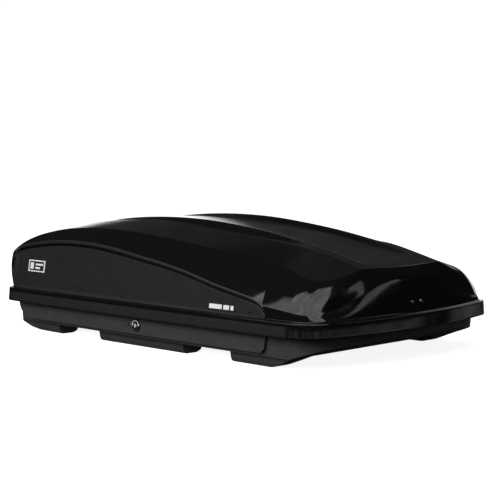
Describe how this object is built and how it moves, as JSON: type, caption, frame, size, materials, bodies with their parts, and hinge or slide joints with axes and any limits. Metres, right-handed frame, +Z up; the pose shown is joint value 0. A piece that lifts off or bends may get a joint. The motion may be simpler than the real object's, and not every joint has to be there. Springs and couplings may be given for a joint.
{
  "type": "roof cargo box",
  "caption": "Side-opening car roof cargo box: glossy ribbed lid hinged on a textured tray, with key lock, gas struts and crossbar clamps.",
  "frame": {"origin": "centre of the box's outline, on the plane of its feet", "axes": "+X towards the nose, +Y towards the hinge side, +Z up"},
  "size_m": [1.4097, 0.85, 0.3745],
  "materials": {
    "tray_plastic": "textured matte black ABS",
    "lid_gloss": "high gloss black ABS with textured side panels",
    "seal_rubber": "matte black EPDM",
    "black_trim": "fine textured black nylon",
    "knob_plastic": "satin black nylon",
    "barrel_chrome": "bright nickel-plated key barrel",
    "tube_paint": "satin black painted steel tube",
    "rod_chrome": "polished hard-chromed rod",
    "dark_rivet": "black painted aluminium rivet",
    "bright_rivet": "bare aluminium rivet",
    "stiffener_aluminium": "mill finish aluminium strip",
    "zinc_steel": "zinc-plated steel"
  },
  "bodies": {
    "root": {"base_tray": "tray_plastic", "rim_seal": "seal_rubber", "left_floor_rail": "zinc_steel", "right_floor_rail": "zinc_steel", "rail_rivets": "dark_rivet", "rear_hinge_base_leaf": "zinc_steel", "middle_hinge_base_leaf": "zinc_steel", "front_hinge_base_leaf": "zinc_steel", "hinge_pins": "zinc_steel", "hinge_base_rivets": "dark_rivet", "lock_bezel": "black_trim", "lock_housing": "black_trim", "lock_cover": "black_trim", "lock_screw": "dark_rivet", "lock_bar_guides": "black_trim", "nose_guide_socket": "black_trim", "rear_strut_base_bracket": "zinc_steel", "front_strut_base_bracket": "zinc_steel"},
    "lid": {"lid_shell": "lid_gloss", "rear_hinge_lid_leaf": "zinc_steel", "middle_hinge_lid_leaf": "zinc_steel", "front_hinge_lid_leaf": "zinc_steel", "hinge_lid_rivets": "dark_rivet", "rear_striker": "zinc_steel", "middle_striker": "zinc_steel", "front_striker": "zinc_steel", "striker_rivets": "dark_rivet", "nose_guide_tongue": "zinc_steel", "nose_rivets": "bright_rivet", "rear_lid_stiffener": "stiffener_aluminium", "front_lid_stiffener": "stiffener_aluminium", "rear_strut_lid_bracket": "zinc_steel", "front_strut_lid_bracket": "zinc_steel"},
    "key_barrel": {"key_barrel": "barrel_chrome", "lock_cam": "zinc_steel"},
    "lock_bar": {"lock_bar": "zinc_steel", "lock_pins": "zinc_steel"},
    "rear_strut_tube": {"rear_strut_tube": "tube_paint"},
    "rear_strut_rod": {"rear_strut_rod": "rod_chrome"},
    "front_strut_tube": {"front_strut_tube": "tube_paint"},
    "front_strut_rod": {"front_strut_rod": "rod_chrome"},
    "rear_right_clamp": {"rear_right_u_bolt": "zinc_steel", "rear_right_clamp_plate": "zinc_steel"},
    "rear_right_aft_knob": {"rear_right_aft_knob": "knob_plastic"},
    "rear_right_fore_knob": {"rear_right_fore_knob": "knob_plastic"},
    "rear_left_clamp": {"rear_left_u_bolt": "zinc_steel", "rear_left_clamp_plate": "zinc_steel"},
    "rear_left_aft_knob": {"rear_left_aft_knob": "knob_plastic"},
    "rear_left_fore_knob": {"rear_left_fore_knob": "knob_plastic"},
    "front_right_clamp": {"front_right_u_bolt": "zinc_steel", "front_right_clamp_plate": "zinc_steel"},
    "front_right_aft_knob": {"front_right_aft_knob": "knob_plastic"},
    "front_right_fore_knob": {"front_right_fore_knob": "knob_plastic"},
    "front_left_clamp": {"front_left_u_bolt": "zinc_steel", "front_left_clamp_plate": "zinc_steel"},
    "front_left_aft_knob": {"front_left_aft_knob": "knob_plastic"},
    "front_left_fore_knob": {"front_left_fore_knob": "knob_plastic"}
  },
  "joints": [
    {"name": "lid_hinge", "type": "hinge", "parent": "root", "child": "lid", "pos_m": [0, 0.4075, 0.112], "axis": [-1, 0, 0], "range_deg": [0, 45]},
    {"name": "key_turn", "type": "hinge", "parent": "root", "child": "key_barrel", "pos_m": [-0.0435, -0.392, 0.07], "axis": [0, -1, 0], "range_deg": [0, 90]},
    {"name": "lock_bar_slide", "type": "slide", "parent": "root", "child": "lock_bar", "axis": [-1, 0, 0], "range_m": [0, 0.015]},
    {"name": "rear_strut_swing", "type": "hinge", "parent": "root", "child": "rear_strut_tube", "pos_m": [-0.6, 0.202, 0.06], "axis": [-1, 0, 0], "range_deg": [0, 23.11]},
    {"name": "rear_strut_stroke", "type": "slide", "parent": "rear_strut_tube", "child": "rear_strut_rod", "axis": [0, 0.239, 0.971], "range_m": [0, 0.1284]},
    {"name": "front_strut_swing", "type": "hinge", "parent": "root", "child": "front_strut_tube", "pos_m": [0.44, 0.202, 0.06], "axis": [-1, 0, 0], "range_deg": [0, 23.11]},
    {"name": "front_strut_stroke", "type": "slide", "parent": "front_strut_tube", "child": "front_strut_rod", "axis": [0, 0.239, 0.971], "range_m": [0, 0.1284]},
    {"name": "rear_right_clamp_slide", "type": "slide", "parent": "root", "child": "rear_right_clamp", "axis": [1, 0, 0], "range_m": [-0.018, 0.018]},
    {"name": "rear_right_aft_knob_turn", "type": "hinge", "parent": "rear_right_clamp", "child": "rear_right_aft_knob", "pos_m": [-0.382, -0.23, 0.053], "axis": [0, 0, 1], "continuous": true},
    {"name": "rear_right_fore_knob_turn", "type": "hinge", "parent": "rear_right_clamp", "child": "rear_right_fore_knob", "pos_m": [-0.302, -0.23, 0.053], "axis": [0, 0, 1], "continuous": true},
    {"name": "rear_left_clamp_slide", "type": "slide", "parent": "root", "child": "rear_left_clamp", "axis": [1, 0, 0], "range_m": [-0.018, 0.018]},
    {"name": "rear_left_aft_knob_turn", "type": "hinge", "parent": "rear_left_clamp", "child": "rear_left_aft_knob", "pos_m": [-0.382, 0.23, 0.053], "axis": [0, 0, 1], "continuous": true},
    {"name": "rear_left_fore_knob_turn", "type": "hinge", "parent": "rear_left_clamp", "child": "rear_left_fore_knob", "pos_m": [-0.302, 0.23, 0.053], "axis": [0, 0, 1], "continuous": true},
    {"name": "front_right_clamp_slide", "type": "slide", "parent": "root", "child": "front_right_clamp", "axis": [1, 0, 0], "range_m": [-0.018, 0.018]},
    {"name": "front_right_aft_knob_turn", "type": "hinge", "parent": "front_right_clamp", "child": "front_right_aft_knob", "pos_m": [0.184, -0.23, 0.053], "axis": [0, 0, 1], "continuous": true},
    {"name": "front_right_fore_knob_turn", "type": "hinge", "parent": "front_right_clamp", "child": "front_right_fore_knob", "pos_m": [0.264, -0.23, 0.053], "axis": [0, 0, 1], "continuous": true},
    {"name": "front_left_clamp_slide", "type": "slide", "parent": "root", "child": "front_left_clamp", "axis": [1, 0, 0], "range_m": [-0.018, 0.018]},
    {"name": "front_left_aft_knob_turn", "type": "hinge", "parent": "front_left_clamp", "child": "front_left_aft_knob", "pos_m": [0.184, 0.23, 0.053], "axis": [0, 0, 1], "continuous": true},
    {"name": "front_left_fore_knob_turn", "type": "hinge", "parent": "front_left_clamp", "child": "front_left_fore_knob", "pos_m": [0.264, 0.23, 0.053], "axis": [0, 0, 1], "continuous": true}
  ],
  "couplings": [
    {"joint": "key_turn", "follows": "lock_bar_slide", "rad_per_m": 104.72},
    {"joint": "rear_strut_swing", "follows": "lid_hinge", "ratio": 0.50237},
    {"joint": "rear_strut_stroke", "follows": "lid_hinge", "m_per_rad": 0.16288},
    {"joint": "front_strut_swing", "follows": "lid_hinge", "ratio": 0.50237},
    {"joint": "front_strut_stroke", "follows": "lid_hinge", "m_per_rad": 0.16288}
  ]
}
